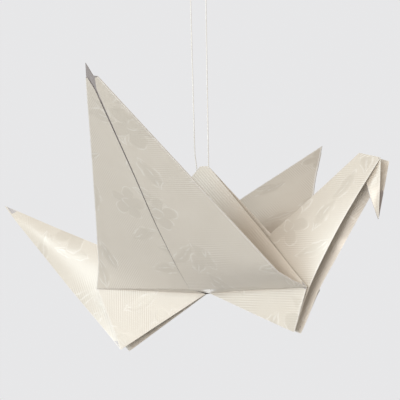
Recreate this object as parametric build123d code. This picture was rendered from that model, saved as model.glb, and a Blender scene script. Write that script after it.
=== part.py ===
"""A paper bird folded from one square sheet, hung from a loop of thread.

The sheet is the traditional bird base with wide legs. Two corners of the square stand as wings, the other
two are folded back between the layers as the neck and the tail, and the middle of the square is the hump
that the thread goes through.

+X points to the head, -Y to the near wing and +Z up the thread. The origin is the top of the thread loop.
"""

from build123d import *
import os
from functools import reduce
from math import atan2, cos, pi, radians, sin, sqrt, tan

# The sheet
sheet_side = 150.0
paper_thickness = 0.15
kite_angle = 22.5

# The opened body: half the distance between the wing hinges, and the hump's blunt peak
body_half_width = 5.2
hump_rise = 33.4
hump_lean = 2.4
peak_half_width = 1.2

# The wings: tilt from upright, and how far each tip is swept towards the head
near_wing_tilt = 49.5
far_wing_tilt = 48.8
near_wing_sweep = -4.6
far_wing_sweep = 6.4

# The wings' soft bends: each runs across at this share of the wing's edges, from the shoulders up, and there
# moves the edge on the head's side and the edge on the tail's side, towards the head, outwards and upwards
near_bend_share = 0.1
near_head_edge_shift = (-0.2, 2.7, -2.7)
near_tail_edge_shift = (0.1, -1.7, 1.0)
far_bend_share = 0.5
far_head_edge_shift = (-2.4, -3.3, 2.4)
far_tail_edge_shift = (-2.1, 0.7, 0.9)

# The wing flaps: how far their free corners stand off the hinge, the seam where their raw edges meet, and
# how far they stop short of the wing's tip
flap_stand_off = 0.55
flap_drop = 0.55
seam_half_gap = 0.3
seam_tip_half_gap = 0.5
flap_tip_setback = 4.5

# The neck's fold: where its crease crosses the spine and the leg's edge, and how far the heel is open
neck_fork_drop = 2.2
neck_heel_run = 12.4
neck_heel_half_gap = 2.2

# The head's fold, measured back from the beak's tip along the spine and along the edge
head_spine_run = 18.2
head_edge_run = 15.4
head_half_gap = 3.1

# The tail's fold, as the neck's, and how much of its tip is lost in the point
tail_fork_drop = 2.6
tail_heel_run = 17.8
tail_heel_half_gap = 2.5
tail_tip_trim = 3.0

# The raw edges beside the spine: outside the feet and head, and tucked inside the neck and tail
raw_edge_half_gap = 0.35
tucked_edge_half_gap = 0.12
raw_edge_drop = 0.8
raw_edge_setback = 1.0

# How far the hanging bird tips towards its head
hang_tilt = 4.1

# The thread: its size, how far the loop rises above the peak, and its route round the tipped peak, as X and Z
# from the peak's middle; each bend takes this share of the shorter run beside it
thread_diameter = 0.3
thread_clearance = 0.1
loop_rise = 49.0
thread_route = [(-2.0, -2.6), (-2.8, 4.0), (-2.8, loop_rise), (1.9, loop_rise), (1.2, -2.6)]
thread_bend_share = 0.45

# Worked out from the sheet: half its side is the wing's length, and the wing's base is the hinge
wing_length = sheet_side / 2
hinge_half = wing_length * tan(radians(kite_angle))
spine_length = sheet_side / sqrt(2)
peak_middle = Vector(-hump_lean, 0, hump_rise)
loop_middle = (thread_route[2][0] + thread_route[3][0]) / 2
hang_point = peak_middle + Vector(loop_middle, 0, loop_rise + thread_diameter / 2)

NEAR, FAR = -1, 1
HEADWARD, TAILWARD = 1, -1


def part_way(start, end, run):
    """The point that is this far from start on the way to end."""
    return start + (end - start).normalized() * run


def folded_over(point, start, end):
    """Where a point of the side view lands when the paper is folded along the crease from start to end."""
    along = (end - start).normalized()
    foot = start + along * (point - start).dot(along)
    return foot * 2 - point


def opened(point, side, half_gap):
    """A side-view point moved out to one side of the bird."""
    return Vector(point.X, side * half_gap, point.Z)


def shoulder(toward, side):
    """The end of a wing's hinge, where wing, hump and leg meet."""
    return Vector(toward * hinge_half, side * body_half_width, 0)


def peak(toward):
    """The headward or tailward end of the hump's blunt peak."""
    return peak_middle + Vector(toward * peak_half_width, 0, 0)


def wing_tip(side):
    tilt, sweep = {NEAR: (near_wing_tilt, near_wing_sweep), FAR: (far_wing_tilt, far_wing_sweep)}[side]
    reach = body_half_width + wing_length * sin(radians(tilt))
    return Vector(sweep, side * reach, wing_length * cos(radians(tilt)))


def bend_share(side):
    return {NEAR: near_bend_share, FAR: far_bend_share}[side]


def wing_bend(toward, side):
    """The end of a wing's bend, on its edge towards the head or the tail."""
    forward, outward, upward = {
        (HEADWARD, NEAR): near_head_edge_shift,
        (TAILWARD, NEAR): near_tail_edge_shift,
        (HEADWARD, FAR): far_head_edge_shift,
        (TAILWARD, FAR): far_tail_edge_shift,
    }[toward, side]
    end = shoulder(toward, side)
    straight = end + (wing_tip(side) - end) * bend_share(side)
    return straight + Vector(forward, side * outward, upward)


def off_wing(toward, side, share):
    """From a wing's middle line to a flap's raw edge beside it, at this share of the way up the wing."""
    return Vector(toward * seam_half_gap, side * flap_stand_off * (1 - share), -flap_drop * (1 - share))


def flap_corner(toward, side):
    """The middle of the sheet's edge, which lies free beside the hinge's middle."""
    return Vector(0, side * body_half_width, 0) + off_wing(toward, side, 0)


def raw_point(point, side, half_gap=raw_edge_half_gap):
    """A raw edge's place beside the spine, just below the fold."""
    return opened(point, side, half_gap) - Vector(0, 0, raw_edge_drop)


def leg_crease(toward, fork_drop, heel_run):
    """A leg's reverse fold in the side view: the crease's two ends and the leg's tip once folded."""
    open_rise = sqrt(hinge_half**2 - body_half_width**2)
    spine_angle = 2 * atan2(open_rise, hinge_half)
    top = Vector(0, 0, hump_rise)
    down_spine = Vector(toward * cos(spine_angle), 0, -sin(spine_angle))
    flat_tip = top + down_spine * spine_length
    fork = top + down_spine * (hinge_half + fork_drop)
    heel = part_way(Vector(toward * hinge_half, 0, 0), flat_tip, heel_run)
    return fork, heel, folded_over(flat_tip, fork, heel)


def panel(*corners):
    """A flat stretch of paper, carried half a thickness past its creases so that its neighbours join it."""
    lap = paper_thickness / 2
    grown = []
    for i, corner in enumerate(corners):
        to_last = (corners[i - 1] - corner).normalized()
        to_next = (corners[(i + 1) % len(corners)] - corner).normalized()
        half_sine = sqrt((1 - to_last.dot(to_next)) / 2)
        grown.append(corner - (to_last + to_next).normalized() * (lap / half_sine))
    return extrude(make_face(Polyline(*grown, close=True)), amount=lap, both=True)


def wing_panels(side):
    """The hump's face, the wing above it and the two flaps folded against the wing's outside."""
    tip, hinge_middle = wing_tip(side), Vector(0, side * body_half_width, 0)
    head_bend, tail_bend = wing_bend(HEADWARD, side), wing_bend(TAILWARD, side)
    yield panel(shoulder(TAILWARD, side), shoulder(HEADWARD, side), peak(HEADWARD), peak(TAILWARD))
    yield panel(hinge_middle, head_bend, tail_bend)
    yield panel(tail_bend, head_bend, tip)
    for toward, bend in ((HEADWARD, head_bend), (TAILWARD, tail_bend)):
        end, corner = shoulder(toward, side), flap_corner(toward, side)
        seam_bend = (head_bend + tail_bend) * 0.5 + off_wing(toward, side, bend_share(side))
        edge_top = part_way(tip, bend, flap_tip_setback)
        seam_top = part_way(part_way(tip, seam_bend, flap_tip_setback), edge_top, seam_tip_half_gap)
        yield panel(hinge_middle, end, bend)
        yield panel(end, corner, bend)
        yield panel(corner, seam_bend, bend)
        yield panel(bend, seam_bend, seam_top, edge_top)


def foot_panels(toward, side, fork, heel, raw_fork):
    """The part of a leg that stays below the wing: the layer from the hump, and the flap outside it."""
    end, corner = shoulder(toward, side), flap_corner(toward, side)
    yield panel(peak(toward), end, fork)
    yield panel(end, heel, fork)
    yield panel(end, corner, raw_fork)
    yield panel(end, raw_fork, heel)


def tail_panels(side):
    """The tail's foot, then its outer layer and the flap inside it."""
    fork, heel_line, flat_tip = leg_crease(TAILWARD, tail_fork_drop, tail_heel_run)
    heel = opened(heel_line, side, tail_heel_half_gap)
    tip = part_way(flat_tip, fork, tail_tip_trim)
    yield from foot_panels(TAILWARD, side, fork, heel, raw_point(fork, side))
    yield panel(fork, heel, tip)
    yield panel(heel, raw_point(fork, side, tucked_edge_half_gap), tip)


def neck_panels(side):
    """The neck's foot, then its outer layer, the flap inside it and the two layers of the head."""
    fork, heel_line, flat_tip = leg_crease(HEADWARD, neck_fork_drop, neck_heel_run)
    crown = part_way(flat_tip, fork, head_spine_run)
    chin_line = part_way(flat_tip, heel_line, head_edge_run)
    beak = folded_over(flat_tip, crown, chin_line)
    heel = opened(heel_line, side, neck_heel_half_gap)
    chin = opened(chin_line, side, head_half_gap)
    inner_crown = part_way(crown, chin_line, raw_edge_setback)
    tucked_fork = raw_point(fork, side, tucked_edge_half_gap)
    tucked_crown = raw_point(inner_crown, side, tucked_edge_half_gap)
    yield from foot_panels(HEADWARD, side, fork, heel, raw_point(fork, side))
    yield panel(fork, heel, crown)
    yield panel(heel, chin, crown)
    yield panel(tucked_fork, heel, tucked_crown)
    yield panel(heel, chin, tucked_crown)
    yield panel(crown, chin, beak)
    yield panel(raw_point(inner_crown, side), chin, beak)


def fused(solids):
    return reduce(lambda joined, piece: joined.fuse(piece), solids)


def bend_radii(points):
    """The radius at each corner of a closed route, as large as the shorter run beside it allows."""
    radii = []
    for i, corner in enumerate(points):
        arriving, leaving = corner - points[i - 1], points[(i + 1) % len(points)] - corner
        shorter = min(arriving.length, leaving.length)
        radii.append(thread_bend_share * shorter / tan(radians(arriving.get_angle(leaving)) / 2))
    return radii


def thread_path():
    """The thread's centreline: through the hump under its peak, up both sides and over the loop's top."""
    corners = [peak_middle + Vector(x, 0, z) for x, z in thread_route]
    radii = bend_radii(corners)
    print("thread bend radii", [round(r, 2) for r in radii])
    return FilletPolyline(*corners, radius=radii, close=True)


def tube(path, diameter):
    start = path.edges()[0]
    section = Plane(origin=start @ 0, z_dir=start % 0) * Circle(diameter / 2)
    return sweep(section, path=path)


def folded_sheet(path):
    """The sheet with all its folds, tipped as it hangs, and the pinholes that the thread passes through."""
    makers = (wing_panels, tail_panels, neck_panels)
    groups = [fused(make(side)) for side in (NEAR, FAR) for make in makers]
    tipped = Pos(*peak_middle) * Rot(0, hang_tilt, 0) * Pos(*-peak_middle) * fused(groups)
    return tipped - tube(path, thread_diameter + 2 * thread_clearance)


def main():
    os.makedirs("parts", exist_ok=True)
    path = thread_path()
    thread = tube(path, thread_diameter)
    expected = pi * thread_diameter**2 / 4 * path.length
    print("thread length", path.length, "volume share", thread.volume / expected)
    for name, shape in (("folded_sheet", folded_sheet(path)), ("hanging_thread", thread)):
        export_step(Pos(*-hang_point) * shape, f"parts/{name}.step")


main()
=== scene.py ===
"""A paper bird folded from one square sheet of woven-look paper, hung from a loop of thread.

The sheet is folded here from its crease points. Each point has a place in the flat sheet, which the paper's
pattern follows, and a folded place in the shared frame. Lengths are in metres.
"""

from math import atan2, cos, exp, pi, radians, sin, sqrt, tan

import bmesh
import bpy
from mathutils import Matrix, Vector, noise


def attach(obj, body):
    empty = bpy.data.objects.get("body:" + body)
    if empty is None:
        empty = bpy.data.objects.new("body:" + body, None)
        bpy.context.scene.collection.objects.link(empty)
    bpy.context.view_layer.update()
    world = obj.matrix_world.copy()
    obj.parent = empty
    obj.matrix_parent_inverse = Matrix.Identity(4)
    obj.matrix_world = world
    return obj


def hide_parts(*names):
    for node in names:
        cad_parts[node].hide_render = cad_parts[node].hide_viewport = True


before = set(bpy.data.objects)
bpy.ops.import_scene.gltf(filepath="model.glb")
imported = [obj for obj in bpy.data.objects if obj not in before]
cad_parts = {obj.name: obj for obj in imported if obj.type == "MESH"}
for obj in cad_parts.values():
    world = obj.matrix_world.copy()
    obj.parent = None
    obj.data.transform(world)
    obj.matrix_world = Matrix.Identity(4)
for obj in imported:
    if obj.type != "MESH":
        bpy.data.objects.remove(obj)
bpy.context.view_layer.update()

# The sheet
sheet_side = 0.150
paper_thickness = 0.00015
kite_angle = radians(22.5)

# The opened body
body_half_width = 0.0052
hump_rise = 0.0334
hump_lean = 0.0024
peak_half_width = 0.0012

# The wings, near and far: tilt from upright and sweep of the tip towards the head, then the soft bend's share
# of the way up, how sharply it turns, and its shifts at the head's edge and the tail's edge
near_wing_tilt = radians(49.2)
far_wing_tilt = radians(48.8)
near_wing_sweep = -0.0051
far_wing_sweep = 0.0064
near_bend_share = 0.1
near_bend_round_share = 0.35
near_head_edge_shift = (-0.0002, 0.0027, -0.0027)
near_tail_edge_shift = (0.0001, -0.0017, 0.0010)
near_wing_crown = 0.0010
crown_share = 0.35
far_bend_share = 0.5
far_bend_round_share = 1.0
far_head_edge_shift = (-0.0024, -0.0033, 0.0024)
far_tail_edge_shift = (-0.0021, 0.0007, 0.0009)

# The wing flaps: how far they lie off the wing, and half the gap between their raw edges at the hinge, then at
# two places near the tip, measured back from it. The near wing's seam is moved along at those three places,
# and the bare paper past its flaps is curled in on the head's side
flap_stand_off = 0.00025
seam_half_gap = 0.00001
seam_flare_setback = 0.0080
seam_flare_half_gap = 0.00028
flap_tip_setback = 0.0045
seam_tip_half_gap = 0.0011
near_seam_shifts = (-0.0028, -0.0005, -0.0002)
tip_curl_setback = 0.0040
near_tip_curl = 0.0010

# The neck, head and tail: the creases, how far the layers stand open, and the raw edges inside
neck_fork_drop = 0.0022
neck_heel_run = 0.0124
neck_heel_half_gap = 0.0022
head_spine_run = 0.0182
head_edge_run = 0.0154
head_half_gap = 0.0031
tail_fork_drop = 0.0026
tail_heel_run = 0.0178
tail_heel_half_gap = 0.0025
tail_tip_trim = 0.0030
raw_edge_half_gap = 0.00035
tucked_edge_half_gap = 0.00002
raw_edge_drop = 0.0008
raw_edge_setback = 0.0010
raw_edge_turn = 0.0006

# The neck's soft shape: its swell between the creases, the bow of its two edges, how far the near edge stands
# out, the bend of the beak, how far the layers inside are tucked in, and how far the head and the far shoulder
# settle
neck_swell = 0.0011
swell_run = 0.006
near_neck_bow = 0.0013
far_neck_bow = 0.0008
near_neck_spread = 0.0019
head_bow = 0.0018
flap_tuck = 0.00025
head_settle = Vector((0.0007, 0, -0.0007))
far_shoulder_settle = 0.0010
settle_reach = 0.008

# How the panels are drawn: cuts along each crease, the angle that counts as a fold, and the paper's waves
crease_cuts = 15
fold_angle = radians(25)
wave_height = 0.00022
wave_length = 0.022
wave_seed = 1

# The thread, with its route in the side view, from the peak's middle, through the pinholes and round the loop
thread_diameter = 0.0003
thread_twist_pitch = 0.0006
loop_rise = 0.049
loop_middle = -0.00045
pinhole_drop = 0.0026
thread_route = [
    (-0.0003, -pinhole_drop), (-0.0020, -pinhole_drop), (-0.0024, 0.0006), (-0.0028, 0.0040),
    (-0.0028, 0.0115), (-0.0028, loop_rise - 0.0024), (-0.0028, loop_rise), (0.0019, loop_rise),
    (0.00187, loop_rise - 0.0024), (0.0014, 0.0115), (0.00125, 0.0006), (0.0012, -pinhole_drop),
    (-0.0005, -pinhole_drop),
]
hang_tilt = radians(4.1)

# The paper's pattern, in millimetres on the flat sheet
blossom_spacing = 31.0
blossom_radius = 7.0
blossom_heart_radius = 1.5
leaf_spacing = 16.0
leaf_half_length = 5.5
leaf_half_width = 1.9
outline_width = 0.30
edge_softness = 0.9
pattern_wander = 2.4
wander_scale = 0.25
# patch_scale sets the size of the patches where the ribs show more, in relief and in painted sheen
patch_scale = 0.07
break_scale = 0.3
rib_pitch = 0.62
# Width of the folded edges' pale line: real wear and a painted highlight of the fold catching light
fold_wear_and_highlight_width = 0.40
fold_ragged_scale = 0.9
cloud_scale = 0.16
tooth_scale = 3.2

# The paper's colours and finish
ground_shade = (0.750, 0.706, 0.634, 1)
ground_light = (0.800, 0.762, 0.698, 1)
# Painted shade and painted highlight for the stripes along the ribs
rib_painted_shade = (0.600, 0.550, 0.475, 1)
rib_painted_highlight = (0.930, 0.905, 0.855, 1)
figure_colour = (0.720, 0.680, 0.610, 1)
outline_colour = (0.900, 0.880, 0.840, 1)
# Pale colour for the folded edges, for their wear and a painted highlight
fold_wear_and_highlight_colour = (0.970, 0.965, 0.950, 1)
back_shade = (0.450, 0.425, 0.430, 1)
back_light = (0.560, 0.530, 0.535, 1)
# Painted shade for the grooves between the thread's plies, and the thread's white
thread_groove_painted_shade = (0.780, 0.780, 0.770, 1)
thread_white = (0.950, 0.950, 0.940, 1)
# How strongly the ribs show, in relief and in painted shade and highlight, from the least patches to the most
rib_least, rib_most = 0.02, 0.42
figure_share = 0.50
figure_metallic = 0.06
outline_share = 0.62
# How strongly the pale fold line, wear and painted highlight, shows on the wings and on the legs
wing_fold_wear_and_highlight, leg_fold_wear_and_highlight = 0.95, 0.30
ground_roughness = 0.50
figure_roughness = 0.38
ground_coat = 0.85
figure_coat = 0.15
coat_roughness = 0.28
back_sheen_roughness, back_dull_roughness = 0.35, 0.5
back_metallic = 0.3
thread_roughness = 0.5
figure_relief = 0.8
relief_height = 0.00004

# The photograph's camera
view_azimuth = radians(26.31)
view_elevation = radians(-8.25)
view_roll = radians(2.17)
view_distance = 0.5
view_target = Vector((-0.00332, 0, 0.02436))
view_focal_pixels = 1848.5
photo_pixels = 400
sensor_width = 36.0

# The studio: each softbox has the way to it from the bird, its size, its power and its colour
floor_height = -0.50
floor_size = 8.0
floor_colour = (0.50, 0.50, 0.50, 1)
floor_roughness = 0.9
floor_glow = 0.50
fill_colour = (1.0, 0.84, 0.70, 1)
fill_strength = 0.28
background_colour = (0.80, 0.80, 0.81, 1)
softbox_distance = 1.0
softboxes = {
    "window_light": ((-0.335, -0.919, 0.208), 0.5, 4.4, (0.85, 0.96, 1.0)),
    "front_light": ((0.190, -0.981, -0.035), 0.3, 3.75, (1.0, 0.945, 0.885)),
    "side_light": ((0.52, -0.72, 0.46), 0.5, 1.6, (1.0, 0.92, 0.80)),
    "back_light": ((-0.65, 0.75, 0.08), 1.0, 8.0, (0.97, 0.99, 1.0)),
}

# Worked out from the sheet
wing_length = sheet_side / 2
hinge_half = wing_length * tan(kite_angle)
spine_length = sheet_side / sqrt(2)
edge_length = wing_length / cos(kite_angle)
peak_middle = Vector((-hump_lean, 0, hump_rise))
hang_point = peak_middle + Vector((loop_middle, 0, loop_rise + thread_diameter / 2))
level = Matrix.Rotation(hang_tilt, 4, "Y")
hung = Matrix.Translation(peak_middle - hang_point) @ level @ Matrix.Translation(-peak_middle)

NEAR, FAR = -1, 1
HEADWARD, TAILWARD = 1, -1


# Small sums


def part_way(start, end, run):
    """The point that is this far from start on the way to end."""
    return start + (end - start).normalized() * run


def folded_over(point, start, end):
    """Where a point lands when its paper is folded flat along the crease from start to end."""
    along = (end - start).normalized()
    return (start + along * (point - start).dot(along)) * 2 - point


def opened(point, side, half_gap):
    return Vector((point.x, side * half_gap, point.z))


def flat_area(corners):
    """Twice a flat panel's area, above zero where its corners go round to the left."""
    return sum(a.x * b.y - a.y * b.x for a, b in zip(corners, corners[1:] + corners[:1]))


def rounded_lower(a, b, width):
    """The lower of two values, with the corner between them rounded over this width."""
    near = max(width - abs(a - b), 0) / width
    return min(a, b) - near * near * width / 4


def eased(value):
    """0 below 0, 1 above 1, smooth between."""
    value = min(max(value, 0), 1)
    return value * value * (3 - 2 * value)


# The crease points


class Creases:
    """The crease points by name, each with its flat and folded place, and the panels between them."""

    def __init__(self):
        self.flat, self.place, self.panels = {}, {}, []

    def point(self, name, flat, place):
        self.flat[name], self.place[name] = Vector((*flat, 0)), Vector(place)

    def panel(self, *names):
        self.panels.append(names)


def wing_tip_place(side):
    tilt, sweep = {NEAR: (near_wing_tilt, near_wing_sweep), FAR: (far_wing_tilt, far_wing_sweep)}[side]
    return Vector((sweep, side * (body_half_width + wing_length * sin(tilt)), wing_length * cos(tilt)))


def hinge_place(side):
    return Vector((0, side * body_half_width, 0))


def off_wing(side):
    """The way straight off a wing's underside."""
    upward = wing_tip_place(side) - hinge_place(side)
    return Vector((0, side * upward.z, -side * upward.y)).normalized()


def leg_crease(toward, fork_drop, heel_run):
    """A leg's reverse fold in the side view: the crease's two ends and the leg's tip once folded."""
    spine_angle = 2 * atan2(sqrt(hinge_half**2 - body_half_width**2), hinge_half)
    top = Vector((0, 0, hump_rise))
    down_spine = Vector((toward * cos(spine_angle), 0, -sin(spine_angle)))
    flat_tip = top + down_spine * spine_length
    fork = top + down_spine * (hinge_half + fork_drop)
    heel = part_way(Vector((toward * hinge_half, 0, 0)), flat_tip, heel_run)
    return fork, heel, folded_over(flat_tip, fork, heel)


def raw_place(place, side, half_gap=raw_edge_half_gap):
    """A raw edge's place beside the spine, just below the fold."""
    return opened(place, side, half_gap) - Vector((0, 0, raw_edge_drop))


def add_body(creases):
    """The hump, the wings and the wings' flaps."""
    for toward in (HEADWARD, TAILWARD):
        place = peak_middle + Vector((toward * peak_half_width, 0, 0))
        creases.point(f"peak{toward}", (toward * peak_half_width, 0), place)
    for side in (NEAR, FAR):
        tip, hinge = wing_tip_place(side), hinge_place(side)
        flat_tip, flat_hinge = Vector((0, side * spine_length)), Vector((0, side * hinge_half))
        creases.point(f"tip{side}", flat_tip, tip)
        creases.point(f"hinge{side}", flat_hinge, hinge)
        flat_middle = part_way(flat_tip, flat_hinge, seam_flare_setback)
        creases.point(f"middle{side}", flat_middle, part_way(tip, hinge, seam_flare_setback))
        for toward in (HEADWARD, TAILWARD):
            add_wing_half(creases, toward, side, tip, hinge)
            creases.panel(f"peak{toward}", f"hinge{side}", f"shoulder{toward}{side}")
        creases.panel(f"peak{HEADWARD}", f"peak{TAILWARD}", f"hinge{side}")


def add_wing_half(creases, toward, side, tip, hinge):
    """Half a wing and the flap folded against its outside."""
    key = f"{toward}{side}"
    end = hinge + Vector((toward * hinge_half, 0, 0))
    lift = off_wing(side) * flap_stand_off
    flat_end, flat_tip = Vector((toward * hinge_half, side * hinge_half)), Vector((0, side * spine_length))
    flat_corner = Vector((toward, side)) * (spine_length / 2)
    shifts = [lift + Vector((shift if side == NEAR else 0, 0, 0)) for shift in near_seam_shifts]
    creases.point(f"shoulder{key}", flat_end, end)
    creases.point(f"flap_shoulder{key}", part_way(flat_end, flat_corner, flap_stand_off), end + lift)
    creases.point(f"corner{key}", flat_corner, part_way(hinge, end, seam_half_gap) + shifts[0])
    for name, setback, half_gap, shift in (
            ("flare", seam_flare_setback, seam_flare_half_gap, shifts[1]),
            ("top", flap_tip_setback, seam_tip_half_gap, shifts[2])):
        edge, middle = part_way(tip, end, setback), part_way(tip, hinge, setback)
        flat_edge, flat_seam = part_way(flat_tip, flat_end, setback), part_way(flat_tip, flat_corner, setback)
        creases.point(f"edge_{name}{key}", flat_edge, edge)
        creases.point(f"flap_edge_{name}{key}", part_way(flat_edge, flat_seam, flap_stand_off), edge + lift)
        creases.point(f"seam_{name}{key}", flat_seam, part_way(middle, edge, half_gap) + shift)
    curl = near_tip_curl if (side, toward) == (NEAR, HEADWARD) else 0
    edge, middle = part_way(tip, end, tip_curl_setback), part_way(tip, hinge, tip_curl_setback)
    flat_edge = part_way(flat_tip, flat_end, tip_curl_setback)
    creases.point(f"edge_tip{key}", flat_edge, part_way(edge, middle, curl))
    creases.panel(f"hinge{side}", f"shoulder{key}", f"edge_flare{key}", f"middle{side}")
    creases.panel(f"middle{side}", f"edge_flare{key}", f"edge_top{key}", f"edge_tip{key}")
    creases.panel(f"middle{side}", f"edge_tip{key}", f"tip{side}")
    creases.panel(f"shoulder{key}", f"flap_shoulder{key}", f"flap_edge_flare{key}", f"edge_flare{key}")
    creases.panel(f"edge_flare{key}", f"flap_edge_flare{key}", f"flap_edge_top{key}", f"edge_top{key}")
    creases.panel(f"shoulder{key}", f"corner{key}", f"flap_shoulder{key}")
    creases.panel(f"flap_shoulder{key}", f"corner{key}", f"seam_flare{key}", f"flap_edge_flare{key}")
    creases.panel(f"flap_edge_flare{key}", f"seam_flare{key}", f"seam_top{key}", f"flap_edge_top{key}")


def leg_flat(toward, side, along_spine, along_edge, along_raw):
    """Flat places on a leg's spine, folded edge and raw edge, each measured back from the sheet's corner."""
    corner = Vector((toward * spine_length, 0))
    edge = Vector((-toward * cos(kite_angle), side * sin(kite_angle)))
    raw = Vector((-toward * cos(2 * kite_angle), side * sin(2 * kite_angle)))
    return corner - Vector((toward * along_spine, 0)), corner + edge * along_edge, corner + raw * along_raw


def add_foot(creases, toward, fork_drop, heel_run, heel_half_gap):
    """The part of a leg that stays below the wings. Returns the leg's places in the side view."""
    fork, heel_line, flat_tip = leg_crease(toward, fork_drop, heel_run)
    along_spine = spine_length - hinge_half - fork_drop
    for side in (NEAR, FAR):
        key = f"{toward}{side}"
        spine, edge, raw = leg_flat(toward, side, along_spine, edge_length - heel_run, along_spine)
        creases.point(f"fork{toward}", spine, fork)
        creases.point(f"heel{key}", edge, opened(heel_line, side, heel_half_gap))
        tucked = part_way(raw, Vector((toward * spine_length, 0)), raw_edge_turn)
        creases.point(f"raw_fork{key}", raw, raw_place(fork, side))
        creases.point(f"tucked_fork{key}", tucked, raw_place(fork, side, tucked_edge_half_gap))
        creases.panel(f"peak{toward}", f"shoulder{key}", f"fork{toward}")
        creases.panel(f"shoulder{key}", f"heel{key}", f"fork{toward}")
        creases.panel(f"shoulder{key}", f"corner{key}", f"raw_fork{key}")
        creases.panel(f"shoulder{key}", f"raw_fork{key}", f"heel{key}")
        creases.panel(f"raw_fork{key}", f"tucked_fork{key}", f"heel{key}")
    return fork, heel_line, flat_tip


def add_tail(creases):
    fork, _, flat_tip = add_foot(creases, TAILWARD, tail_fork_drop, tail_heel_run, tail_heel_half_gap)
    tip_flat = (-(spine_length - tail_tip_trim), 0)
    creases.point("tail_tip", tip_flat, part_way(flat_tip, fork, tail_tip_trim))
    for side in (NEAR, FAR):
        key = f"{TAILWARD}{side}"
        creases.panel(f"fork{TAILWARD}", f"heel{key}", "tail_tip")
        creases.panel(f"heel{key}", f"tucked_fork{key}", "tail_tip")


def add_neck(creases):
    fork, heel_line, flat_tip = add_foot(creases, HEADWARD, neck_fork_drop, neck_heel_run, neck_heel_half_gap)
    crown = part_way(flat_tip, fork, head_spine_run)
    chin_line = part_way(flat_tip, heel_line, head_edge_run)
    inner_crown = part_way(crown, chin_line, raw_edge_setback)
    creases.point("beak", (spine_length, 0), folded_over(flat_tip, crown, chin_line))
    for side in (NEAR, FAR):
        key = f"{HEADWARD}{side}"
        spine, edge, raw = leg_flat(HEADWARD, side, head_spine_run, head_edge_run, head_spine_run)
        creases.point("crown", spine, crown)
        creases.point(f"chin{side}", edge, opened(chin_line, side, head_half_gap))
        tucked = part_way(raw, Vector((0, side * spine_length)), raw_edge_turn)
        raw_crown = part_way(crown, chin_line, raw_edge_half_gap)
        creases.point(f"raw_crown{side}", raw, opened(raw_crown, side, raw_edge_half_gap))
        creases.point(f"tucked_crown{side}", tucked, raw_place(inner_crown, side, tucked_edge_half_gap))
        creases.panel(f"fork{HEADWARD}", f"heel{key}", f"chin{side}", "crown")
        creases.panel(f"tucked_fork{key}", f"heel{key}", f"chin{side}", f"tucked_crown{side}")
        creases.panel(f"tucked_crown{side}", f"chin{side}", f"raw_crown{side}")
        creases.panel("crown", f"chin{side}", "beak")
        creases.panel(f"raw_crown{side}", f"chin{side}", "beak")


# The paper's soft shape


def wing_shift(place, side):
    """How far a wing's soft bend moves a point of the straight wing."""
    share, round_share, head_shift, tail_shift = {
        NEAR: (near_bend_share, near_bend_round_share, near_head_edge_shift, near_tail_edge_shift),
        FAR: (far_bend_share, far_bend_round_share, far_head_edge_shift, far_tail_edge_shift),
    }[side]
    upward, from_hinge = wing_tip_place(side) - hinge_place(side), place - hinge_place(side)
    up = from_hinge.yz.dot(upward.yz) / upward.yz.length_squared
    up = min(max(up, 0), 1)
    half_width = hinge_half * max(1 - up, paper_thickness)
    headward = min(max((from_hinge.x - up * upward.x) / half_width, -1), 1)
    shift = Vector(head_shift) * (1 + headward) / 2 + Vector(tail_shift) * (1 - headward) / 2
    shift.y *= side
    shift *= max(rounded_lower(up / share, (1 - up) / (1 - share), round_share), 0)
    if side == NEAR:
        shift += off_wing(side) * near_wing_crown * (1 - abs(headward)) * (1 - up) * eased(up / crown_share)
    return shift


def beyond_crease(back, spine_run, edge_run):
    """How far a point of a leg lies past a crease, towards the sheet's corner."""
    start = Vector((spine_run, 0))
    along = Vector((cos(kite_angle), sin(kite_angle))) * edge_run - start
    away = Vector((along.y, -along.x)).normalized()
    return away.dot(start - back)


def leg_shift(flat, side):
    """How far a point of the neck, head or tail moves outwards, and from its edge towards its spine."""
    fork_drop, heel_run = (neck_fork_drop, neck_heel_run) if flat.x > 0 else (tail_fork_drop, tail_heel_run)
    back = Vector((spine_length - abs(flat.x), abs(flat.y)))
    angle = atan2(back.y, back.x)
    inside = angle > kite_angle
    if inside:
        angle = max(2 * kite_angle - angle, 0)
        back = Vector((cos(angle), sin(angle))) * back.length
    across = angle / kite_angle
    past_foot = beyond_crease(back, spine_length - hinge_half - fork_drop, edge_length - heel_run)
    past_head = beyond_crease(back, head_spine_run, head_edge_run) if flat.x > 0 else -back.length
    if past_head > 0:
        return -side * head_bow * (1 - across) * sin(pi * min(past_head / head_edge_run, 1)), 0
    bow = sin(pi * past_foot / (past_foot - past_head)) if flat.x > 0 and past_foot > 0 else 0
    spread = near_neck_spread * bow * across**2 if side == NEAR else 0
    inward = (near_neck_bow * bow if side == NEAR else far_neck_bow * bow**2) * across**1.5
    if inside:
        clear = eased(past_foot / swell_run) * eased(-past_head / swell_run)
        return spread - flap_tuck * eased((1 - across) * 4) * clear, inward
    clear = eased(past_foot / (3 * swell_run)) * eased(-past_head / (3 * swell_run))
    return spread + neck_swell * sin(pi * across) * clear, inward


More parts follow.
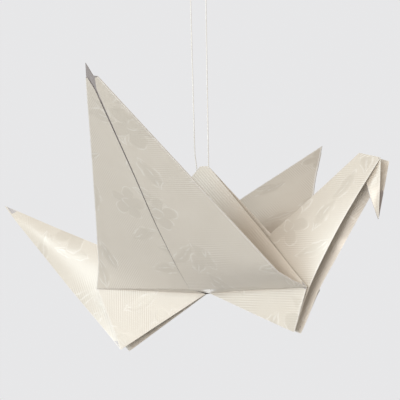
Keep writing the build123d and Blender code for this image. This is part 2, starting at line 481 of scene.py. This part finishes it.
def shape_paper(bm, flat_layer):
    """Bends the wings, swells the legs, settles the head and a shoulder, and gives the paper slight waves."""
    neck_run = spine_length - hinge_half - head_spine_run
    far_shoulder = Vector((hinge_half, FAR * body_half_width, 0))
    fork, heel, tip = leg_crease(HEADWARD, neck_fork_drop, neck_heel_run)
    neck_line = (tip - heel).normalized()
    to_spine = (fork - heel) - neck_line * (fork - heel).dot(neck_line)
    to_spine.normalize()
    noise.seed_set(wave_seed)
    for vert in bm.verts:
        flat = vert[flat_layer]
        side = NEAR if flat.y < 0 else FAR
        settle = exp(-((vert.co - far_shoulder).length / settle_reach) ** 2)
        if abs(flat.y) >= abs(flat.x) and abs(flat.y) > hinge_half:
            vert.co += wing_shift(vert.co, side)
        elif abs(flat.x) > hinge_half:
            outward, inward = leg_shift(flat, side)
            tucked = outward < 0 and flat.x < spine_length - head_spine_run
            vert.co.y += side * (max(outward, -side * vert.co.y) if tucked else outward)
            vert.co += to_spine * inward
            if flat.x > 0:
                vert.co += head_settle * eased((flat.x - hinge_half) / neck_run)
        vert.co.x -= far_shoulder_settle * settle
        vert.co += noise.noise_vector(vert.co / wave_length) * wave_height


def folded_sheet_mesh():
    creases = Creases()
    add_body(creases)
    add_tail(creases)
    add_neck(creases)
    bm = bmesh.new()
    flat_layer = bm.verts.layers.float_vector.new("flat")
    corners = {}
    for name, place in creases.place.items():
        corners[name] = bm.verts.new(place)
        corners[name][flat_layer] = creases.flat[name]
    for names in creases.panels:
        turns_left = flat_area([creases.flat[name] for name in names]) > 0
        bm.faces.new([corners[name] for name in (names if turns_left else reversed(names))])
    bmesh.ops.subdivide_edges(bm, edges=bm.edges, cuts=crease_cuts, use_grid_fill=True)
    shape_paper(bm, flat_layer)
    bmesh.ops.transform(bm, matrix=hung, verts=bm.verts)
    uv = bm.loops.layers.uv.new("FlatSheet")
    for face in bm.faces:
        face.smooth = True
        for loop in face.loops:
            flat = loop.vert[flat_layer]
            loop[uv].uv = (0.5 + flat.x / (2 * spine_length), 0.5 + flat.y / (2 * spine_length))
    mesh = bpy.data.meshes.new("paper_bird")
    bm.to_mesh(mesh)
    bm.free()
    return mesh


def paper_bird(front, back):
    bird = bpy.data.objects.new("paper_bird", folded_sheet_mesh())
    bpy.context.scene.collection.objects.link(bird)
    bird.data.materials.append(front)
    bird.data.materials.append(back)
    wall = bird.modifiers.new("paper thickness", "SOLIDIFY")
    wall.thickness = paper_thickness
    wall.offset = 0
    wall.material_offset = 1
    wall.material_offset_rim = 1
    split = bird.modifiers.new("crisp folds", "EDGE_SPLIT")
    split.split_angle = fold_angle
    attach(bird, "root")
    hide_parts("folded_sheet")


def hanging_thread(material):
    curve = bpy.data.curves.new("hanging_thread_loop", "CURVE")
    curve.dimensions = "3D"
    curve.bevel_depth = thread_diameter / 2
    curve.bevel_resolution = 3
    curve.resolution_u = 12
    spline = curve.splines.new("NURBS")
    spline.points.add(len(thread_route) - 1)
    for point, (x, z) in zip(spline.points, thread_route):
        point.co = (*(peak_middle + Vector((x, 0, z)) - hang_point), 1)
    spline.use_endpoint_u = True
    spline.order_u = 3
    thread = bpy.data.objects.new("hanging_thread_loop", curve)
    bpy.context.scene.collection.objects.link(thread)
    curve.materials.append(material)
    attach(thread, "root")
    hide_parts("hanging_thread")


# Materials


class Tree:
    """A node tree, with short calls that add a node and return its output."""

    def __init__(self, tree):
        self.tree = tree

    def node(self, kind, **settings):
        node = self.tree.nodes.new(kind)
        for name, value in settings.items():
            setattr(node, name, value)
        return node

    def feed(self, socket, value):
        if isinstance(value, bpy.types.NodeSocket):
            self.tree.links.new(value, socket)
        else:
            socket.default_value = value

    def math(self, operation, *values, clamp=False):
        node = self.node("ShaderNodeMath", operation=operation, use_clamp=clamp)
        for socket, value in zip(node.inputs, values):
            self.feed(socket, value)
        return node.outputs["Value"]

    def vector(self, operation, *values, output="Vector"):
        node = self.node("ShaderNodeVectorMath", operation=operation)
        for socket, value in zip(node.inputs, values):
            self.feed(socket, value)
        return node.outputs[output]

    def turned(self, vector, angle):
        node = self.node("ShaderNodeVectorRotate", rotation_type="Z_AXIS")
        self.feed(node.inputs["Vector"], vector)
        self.feed(node.inputs["Angle"], angle)
        return node.outputs["Vector"]

    def parts(self, vector):
        node = self.node("ShaderNodeSeparateXYZ")
        self.feed(node.inputs["Vector"], vector)
        return node.outputs["X"], node.outputs["Y"]

    def ramp(self, value, low, high):
        """0 below low, 1 above high, smooth between."""
        node = self.node("ShaderNodeMapRange", interpolation_type="SMOOTHSTEP")
        self.feed(node.inputs["Value"], value)
        node.inputs["From Min"].default_value = low
        node.inputs["From Max"].default_value = high
        return node.outputs["Result"]

    def noise(self, vector, scale, detail=2.0):
        node = self.node("ShaderNodeTexNoise")
        self.feed(node.inputs["Vector"], vector)
        node.inputs["Scale"].default_value = scale
        node.inputs["Detail"].default_value = detail
        return node.outputs["Fac"]

    def mix(self, share, first, second):
        node = self.node("ShaderNodeMix", data_type="RGBA")
        self.feed(node.inputs["Factor"], share)
        self.feed(node.inputs[6], first)
        self.feed(node.inputs[7], second)
        return node.outputs[2]

    def blend(self, share, first, second):
        node = self.node("ShaderNodeMix", data_type="FLOAT")
        self.feed(node.inputs["Factor"], share)
        self.feed(node.inputs[2], first)
        self.feed(node.inputs[3], second)
        return node.outputs[0]


def new_group(name, inputs, outputs):
    """A shader node group with these sockets, each a name and a socket kind."""
    group = bpy.data.node_groups.new(name, "ShaderNodeTree")
    for socket_name, kind in inputs:
        group.interface.new_socket(socket_name, in_out="INPUT", socket_type=kind)
    for socket_name, kind in outputs:
        group.interface.new_socket(socket_name, in_out="OUTPUT", socket_type=kind)
    tree = Tree(group)
    return tree, tree.node("NodeGroupInput").outputs, tree.node("NodeGroupOutput").inputs


def scattered(tree, flat, spacing, randomness, offset):
    """Places scattered over the sheet: the way from the nearest one, turned its own way."""
    moved = tree.vector("ADD", flat, offset)
    cells = tree.node("ShaderNodeTexVoronoi", voronoi_dimensions="2D")
    tree.feed(cells.inputs["Vector"], moved)
    cells.inputs["Scale"].default_value = 1 / spacing
    cells.inputs["Randomness"].default_value = randomness
    way = tree.vector("SUBTRACT", moved, cells.outputs["Position"])
    luck = tree.node("ShaderNodeSeparateColor")
    tree.feed(luck.inputs["Color"], cells.outputs["Color"])
    return tree.turned(way, tree.math("MULTIPLY", luck.outputs["Red"], 2 * pi)), luck.outputs["Green"]


def blossom(tree, flat):
    """Five-petalled blossoms: how deep inside a petal's edge a point is, in millimetres."""
    way, luck = scattered(tree, flat, blossom_spacing, 0.6, (3.0, 11.0, 0.0))
    x, y = tree.parts(way)
    angle = tree.math("ARCTAN2", y, x)
    lobe = tree.math("ABSOLUTE", tree.math("COSINE", tree.math("MULTIPLY", angle, 2.5)))
    petal = tree.math("POWER", lobe, 0.6)
    reach = tree.math("MULTIPLY_ADD", petal, 0.62 * blossom_radius, 0.38 * blossom_radius)
    size = tree.math("MULTIPLY_ADD", luck, 0.35, 0.75)
    far = tree.vector("LENGTH", way, output="Value")
    return tree.math("SUBTRACT", tree.math("MULTIPLY", reach, size), far), far


def leaf(tree, flat, spacing, offset):
    """Pointed leaves: how deep inside a leaf's edge a point is, and how far from its vein, in millimetres."""
    way, _ = scattered(tree, flat, spacing, 0.9, offset)
    x, y = tree.parts(way)
    bow = tree.math("MULTIPLY_ADD", tree.math("MULTIPLY", x, x), 0.02, y)
    along = tree.math("DIVIDE", x, leaf_half_length)
    taper = tree.math("SUBTRACT", 1.0, tree.math("MULTIPLY", along, along))
    from_vein = tree.math("ABSOLUTE", bow)
    return tree.math("SUBTRACT", tree.math("MULTIPLY", taper, leaf_half_width), from_vein), from_vein


def floral_group():
    """The paper's woven floral, from flat places in millimetres.

    It gives the figure of blossoms and leaves, the figure's outline, the ground's ribs and, in patches, how
    strongly the ribs show, in relief and in painted sheen and shade.
    """
    masks = [(name, "NodeSocketFloat") for name in ("Figure", "Outline", "Rib", "RibReliefAndPaintedSheen")]
    tree, given, out = new_group("woven floral", [("Flat", "NodeSocketVector")], masks)
    astray = tree.node("ShaderNodeTexNoise")
    tree.feed(astray.inputs["Vector"], given["Flat"])
    astray.inputs["Scale"].default_value = wander_scale
    wander = tree.vector("SUBTRACT", astray.outputs["Color"], (0.5, 0.5, 0.5))
    wander = tree.vector("MULTIPLY", wander, (pattern_wander, pattern_wander, 0.0))
    flat = tree.vector("ADD", given["Flat"], wander)
    petal, from_heart = blossom(tree, flat)
    figure, outline = tree.ramp(petal, 0, edge_softness), edge_line(tree, petal)
    heart = edge_line(tree, tree.math("SUBTRACT", from_heart, blossom_heart_radius))
    outline = tree.math("MAXIMUM", outline, heart)
    outside = tree.math("SUBTRACT", 1.0, tree.ramp(petal, -1.5 * edge_softness, 0))
    for spacing, offset in ((leaf_spacing, (7.0, 2.0, 0.0)), (leaf_spacing * 1.3, (31.0, 17.0, 0.0))):
        inside, from_vein = leaf(tree, flat, spacing, offset)
        blade = tree.math("MULTIPLY", tree.ramp(inside, 0, edge_softness), outside)
        vein = tree.math("MULTIPLY", edge_line(tree, from_vein), blade)
        lines = tree.math("MAXIMUM", edge_line(tree, inside), vein)
        figure = tree.math("MAXIMUM", figure, blade)
        outline = tree.math("MAXIMUM", outline, tree.math("MULTIPLY", lines, outside))
    across = tree.vector("DOT_PRODUCT", given["Flat"], (sqrt(0.5), sqrt(0.5), 0.0), output="Value")
    wave = tree.math("SINE", tree.math("MULTIPLY", across, 2 * pi / rib_pitch))
    rib = tree.math("MULTIPLY_ADD", wave, 0.5, 0.5)
    # Patches where the ribs show more, in relief and in painted sheen
    patchy = tree.ramp(tree.noise(given["Flat"], patch_scale), 0.46, 0.66)
    broken = tree.ramp(tree.noise(given["Flat"], break_scale), 0.42, 0.62)
    tree.feed(out["Figure"], figure)
    tree.feed(out["Outline"], tree.math("MULTIPLY", outline, broken))
    tree.feed(out["Rib"], rib)
    tree.feed(out["RibReliefAndPaintedSheen"], tree.blend(patchy, rib_least, rib_most))
    return tree.tree


def edge_line(tree, depth):
    """A fine line where depth is zero."""
    away = tree.ramp(tree.math("ABSOLUTE", depth), 0.4 * outline_width, outline_width)
    return tree.math("SUBTRACT", 1.0, away)


def fold_wear_and_highlight_group():
    """How much wear and painted highlight the folded edges get, from flat places in millimetres: most on the
    fold, 0 away from it.
    """
    tree, given, out = new_group("worn folds", [("Flat", "NodeSocketVector")], [("WearAndHighlight", "NodeSocketFloat")])
    x, y = tree.parts(tree.vector("ABSOLUTE", given["Flat"]))
    lesser, greater = tree.math("MINIMUM", x, y), tree.math("MAXIMUM", x, y)
    edge = tree.math("MULTIPLY_ADD", lesser, cos(kite_angle), tree.math("MULTIPLY", greater, sin(kite_angle)))
    corner_reach = 1000 * hinge_half * (cos(kite_angle) + sin(kite_angle))
    distance = tree.math("ABSOLUTE", tree.math("SUBTRACT", edge, corner_reach))
    rough = tree.noise(given["Flat"], fold_ragged_scale)
    ragged = tree.math("MULTIPLY_ADD", rough, -0.5 * fold_wear_and_highlight_width, distance)
    wear_and_highlight = tree.math("SUBTRACT", 1.0, tree.ramp(ragged, 0.2 * fold_wear_and_highlight_width, fold_wear_and_highlight_width))
    on_wing = tree.math("GREATER_THAN", y, x)
    tree.feed(out["WearAndHighlight"], tree.math("MULTIPLY", wear_and_highlight, tree.blend(on_wing, leg_fold_wear_and_highlight, wing_fold_wear_and_highlight)))
    return tree.tree


def fibre_group():
    """The paper's fibres: a soft cloudiness and a fine tooth."""
    tree, given, out = new_group("paper fibres", [("Flat", "NodeSocketVector")],
                                 [("Cloud", "NodeSocketFloat"), ("Tooth", "NodeSocketFloat")])
    tree.feed(out["Cloud"], tree.noise(given["Flat"], cloud_scale, 3.0))
    tree.feed(out["Tooth"], tree.noise(given["Flat"], tooth_scale, 3.0))
    return tree.tree


def paper_tree(name):
    """A new material, with its shader and the flat place of each point in millimetres."""
    material = bpy.data.materials.new(name)
    material.use_nodes = True
    tree = Tree(material.node_tree)
    uv = tree.node("ShaderNodeUVMap", uv_map="FlatSheet").outputs["UV"]
    across = 2000 * spine_length
    flat = tree.vector("MULTIPLY_ADD", uv, (across, across, 0), (-across / 2, -across / 2, 0))
    return material, tree, material.node_tree.nodes["Principled BSDF"], flat


def placed(tree, group, flat):
    node = tree.node("ShaderNodeGroup", node_tree=group)
    tree.feed(node.inputs["Flat"], flat)
    return node.outputs


def bump(tree, height, distance):
    node = tree.node("ShaderNodeBump")
    node.inputs["Distance"].default_value = distance
    tree.feed(node.inputs["Height"], height)
    return node.outputs["Normal"]


def pearl_paper(floral, folds, fibres):
    """The patterned side: a ribbed cream ground with painted sheen and shade on its ribs, and a satin figure,
    paler at outlines and on the folds, where wear and a painted highlight are laid.
    """
    material, tree, shader, flat = paper_tree("pearl floral paper")
    pattern, fibre = placed(tree, floral, flat), placed(tree, fibres, flat)
    wear_and_highlight = placed(tree, folds, flat)["WearAndHighlight"]
    ground = tree.mix(fibre["Cloud"], ground_shade, ground_light)
    # Painted sheen and shade: pale and dark stripes along the ribs, in patches, laid into the ground's colour;
    # the ribs' relief is real
    ribs_with_painted_sheen = tree.mix(pattern["RibReliefAndPaintedSheen"], ground, tree.mix(pattern["Rib"], rib_painted_highlight, rib_painted_shade))
    colour = tree.mix(tree.math("MULTIPLY", pattern["Figure"], figure_share), ribs_with_painted_sheen, figure_colour)
    colour = tree.mix(tree.math("MULTIPLY", pattern["Outline"], outline_share), colour, outline_colour)
    # Wear and painted highlight: the folded edges are made paler
    tree.feed(shader.inputs["Base Color"], tree.mix(wear_and_highlight, colour, fold_wear_and_highlight_colour))
    tree.feed(shader.inputs["Roughness"], tree.blend(pattern["Figure"], ground_roughness, figure_roughness))
    coat = tree.math("MULTIPLY_ADD", pattern["Figure"], figure_coat, ground_coat)
    tree.feed(shader.inputs["Coat Weight"], coat)
    shader.inputs["Coat Roughness"].default_value = coat_roughness
    tree.feed(shader.inputs["Metallic"], tree.math("MULTIPLY", pattern["Figure"], figure_metallic))
    rib = tree.math("MULTIPLY", pattern["Rib"], pattern["RibReliefAndPaintedSheen"])
    height = tree.math("MULTIPLY_ADD", rib, -1.0, fibre["Tooth"])
    height = tree.math("MULTIPLY_ADD", pattern["Figure"], figure_relief, height)
    tree.feed(shader.inputs["Normal"], bump(tree, height, relief_height))
    return material


def plain_paper(fibres):
    """The sheet's plain silvery back and its cut edges."""
    material, tree, shader, flat = paper_tree("plain paper back")
    fibre = placed(tree, fibres, flat)
    tree.feed(shader.inputs["Base Color"], tree.mix(fibre["Cloud"], back_shade, back_light))
    roughness = tree.blend(fibre["Tooth"], back_sheen_roughness, back_dull_roughness)
    tree.feed(shader.inputs["Roughness"], roughness)
    shader.inputs["Metallic"].default_value = back_metallic
    tree.feed(shader.inputs["Normal"], bump(tree, fibre["Tooth"], relief_height))
    return material


def twisted_thread():
    """White thread, with painted shade between its plies."""
    material = bpy.data.materials.new("thread")
    material.use_nodes = True
    tree, shader = Tree(material.node_tree), material.node_tree.nodes["Principled BSDF"]
    place = tree.node("ShaderNodeTexCoord").outputs["Object"]
    along = tree.vector("DOT_PRODUCT", place, (1.0, 1.0, 1.0), output="Value")
    wave = tree.math("SINE", tree.math("MULTIPLY", along, 2 * pi / thread_twist_pitch))
    # Painted shade in stripes along the twist, where the grooves between the plies lie
    tree.feed(shader.inputs["Base Color"], tree.mix(tree.ramp(wave, -1, 0.2), thread_groove_painted_shade, thread_white))
    shader.inputs["Roughness"].default_value = thread_roughness
    return material


def pale_floor():
    """A matt floor that shows paler than the light it gives back, and keeps the bird's shadow."""
    material = bpy.data.materials.new("pale floor")
    material.use_nodes = True
    nodes, links = material.node_tree.nodes, material.node_tree.links
    shader = nodes["Principled BSDF"]
    shader.inputs["Base Color"].default_value = floor_colour
    shader.inputs["Roughness"].default_value = floor_roughness
    shader.inputs["Emission Strength"].default_value = floor_glow
    path = nodes.new("ShaderNodeLightPath")
    links.new(path.outputs["Is Camera Ray"], shader.inputs["Emission Color"])
    return material


# The studio


def camera():
    """The camera, at the angle and distance of the photograph."""
    outward = cos(view_elevation)
    back = Vector((sin(view_azimuth) * outward, -cos(view_azimuth) * outward, sin(view_elevation)))
    right = Vector((cos(view_azimuth), sin(view_azimuth), 0))
    up = back.cross(right)
    rolled_right = right * cos(view_roll) + up * sin(view_roll)
    rolled_up = up * cos(view_roll) - right * sin(view_roll)
    data = bpy.data.cameras.new("camera")
    data.sensor_width = sensor_width
    data.lens = view_focal_pixels / photo_pixels * sensor_width
    data.clip_start = view_distance / 100
    data.clip_end = floor_size * 2
    eye = bpy.data.objects.new("camera", data)
    turned = Matrix((rolled_right, rolled_up, back)).transposed().to_4x4()
    eye.matrix_world = hung @ Matrix.Translation(view_target + back * view_distance) @ turned
    bpy.context.scene.collection.objects.link(eye)
    bpy.context.scene.camera = eye


def softbox(name, direction, size, power, colour):
    """A round lamp that faces the bird from this way."""
    data = bpy.data.lights.new(name, "AREA")
    data.shape = "DISK"
    data.size = size
    data.energy = power
    data.color = colour
    light = bpy.data.objects.new(name, data)
    back = Vector(direction).normalized()
    light.location = hung @ view_target + back * softbox_distance
    light.rotation_mode = "QUATERNION"
    light.rotation_quaternion = back.to_track_quat("Z", "Y")
    bpy.context.scene.collection.objects.link(light)


def studio():
    """Soft lamps over a pale floor, with a plain pale background."""
    world = bpy.data.worlds.new("studio")
    bpy.context.scene.world = world
    world.use_nodes = True
    nodes, links = world.node_tree.nodes, world.node_tree.links
    fill = nodes["Background"]
    fill.inputs["Color"].default_value = fill_colour
    fill.inputs["Strength"].default_value = fill_strength
    seen = nodes.new("ShaderNodeBackground")
    seen.inputs["Color"].default_value = background_colour
    path = nodes.new("ShaderNodeLightPath")
    mix = nodes.new("ShaderNodeMixShader")
    links.new(path.outputs["Is Camera Ray"], mix.inputs["Fac"])
    links.new(fill.outputs["Background"], mix.inputs[1])
    links.new(seen.outputs["Background"], mix.inputs[2])
    links.new(mix.outputs["Shader"], nodes["World Output"].inputs["Surface"])
    for name, (direction, size, power, colour) in softboxes.items():
        softbox(name, direction, size, power, colour)
    bm = bmesh.new()
    bmesh.ops.create_grid(bm, x_segments=1, y_segments=1, size=floor_size / 2)
    bmesh.ops.translate(bm, vec=(0, 0, floor_height), verts=bm.verts)
    mesh = bpy.data.meshes.new("floor")
    bm.to_mesh(mesh)
    bm.free()
    floor = bpy.data.objects.new("floor", mesh)
    mesh.materials.append(pale_floor())
    bpy.context.scene.collection.objects.link(floor)


bpy.context.scene.view_settings.view_transform = "Standard"
camera()
studio()
fibres = fibre_group()
paper_bird(pearl_paper(floral_group(), fold_wear_and_highlight_group(), fibres), plain_paper(fibres))
hanging_thread(twisted_thread())
